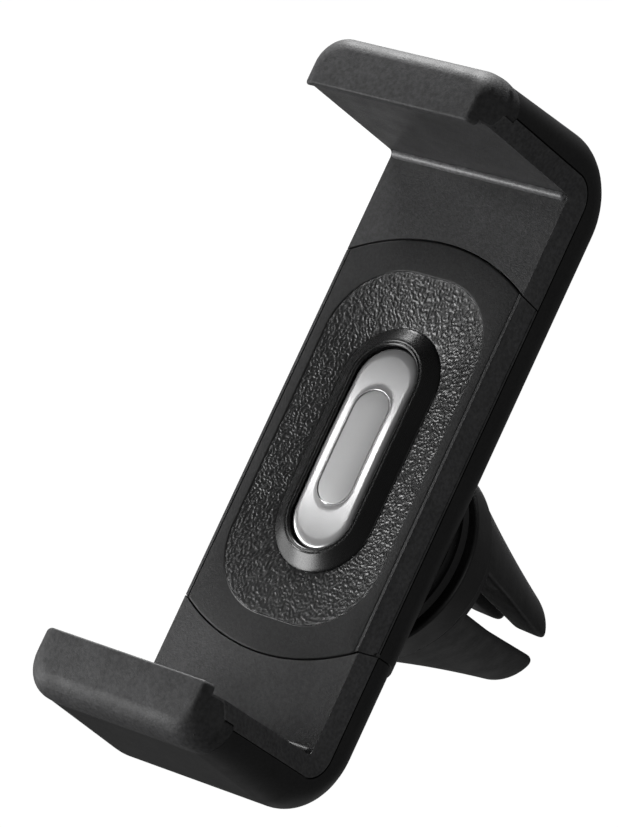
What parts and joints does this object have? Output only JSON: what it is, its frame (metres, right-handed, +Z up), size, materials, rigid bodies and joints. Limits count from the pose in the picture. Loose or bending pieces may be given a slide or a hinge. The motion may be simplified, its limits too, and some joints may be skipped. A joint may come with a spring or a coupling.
{
  "type": "car phone mount",
  "caption": "Phone holder for a car air vent: a spring-loaded sliding jaw and a fixed jaw on a slim body, with a swivelling slotted rubber clip behind that grips a vent louvre.",
  "frame": {"origin": "on the swivel axis, at the floor of the clip's louvre slots", "axes": "+X along the holder towards the sliding jaw, +Y from the phone's side towards the vent, +Z up with the phone upright"},
  "size_m": [0.0696, 0.051, 0.0238],
  "materials": {
    "shell_plastic": "smooth matte moulded",
    "grained_plastic": "fine spark-eroded grain",
    "soft_touch": "soft-touch matte",
    "leather_grain": "moulded leather grain, semi-gloss",
    "gloss_black": "polished black",
    "satin_silver": "fine satin anodised",
    "satin_grey": "bead-blasted",
    "clip_rubber": "matte moulded",
    "black_acetal": "as moulded",
    "zinc_steel": "black zinc",
    "spring_steel": "drawn wire"
  },
  "bodies": {
    "clip": {"vent_clip": "clip_rubber", "clip_core": "black_acetal", "clip_collar": "shell_plastic", "axle_screw": "zinc_steel", "retaining_washer": "zinc_steel", "friction_washer": "zinc_steel", "thrust_washer": "black_acetal"},
    "holder": {"back_shell": "shell_plastic", "fixed_jaw_liner": "grained_plastic", "fixed_jaw_cap": "soft_touch", "front_frame": "grained_plastic", "face_plate": "grained_plastic", "textured_inlay": "leather_grain", "bezel": "gloss_black", "badge_plate": "satin_silver", "badge_oval": "satin_grey", "guide_rails": "black_acetal", "stop_pin": "black_acetal", "spring_anchor_pins": "zinc_steel", "return_spring_upper": "spring_steel", "return_spring_lower": "spring_steel", "shell_screws": "zinc_steel", "swivel_seat": "shell_plastic", "seat_screws": "zinc_steel"},
    "slide": {"sliding_jaw_shell": "shell_plastic", "sliding_jaw_liner": "grained_plastic", "sliding_jaw_cap": "soft_touch", "slide_tongue": "black_acetal", "slide_screws": "zinc_steel", "spring_slide_pins": "zinc_steel"}
  },
  "joints": [
    {"name": "swivel", "type": "hinge", "parent": "clip", "child": "holder", "pos_m": [0, 0, 0], "axis": [0, 1, 0], "continuous": true},
    {"name": "jaw_slide", "type": "slide", "parent": "holder", "child": "slide", "axis": [1, 0, 0], "range_m": [0, 0.022], "stiffness_N_per_m": 360, "springref_m": -0.015, "deforming": ["return_spring_upper", "return_spring_lower"]}
  ]
}
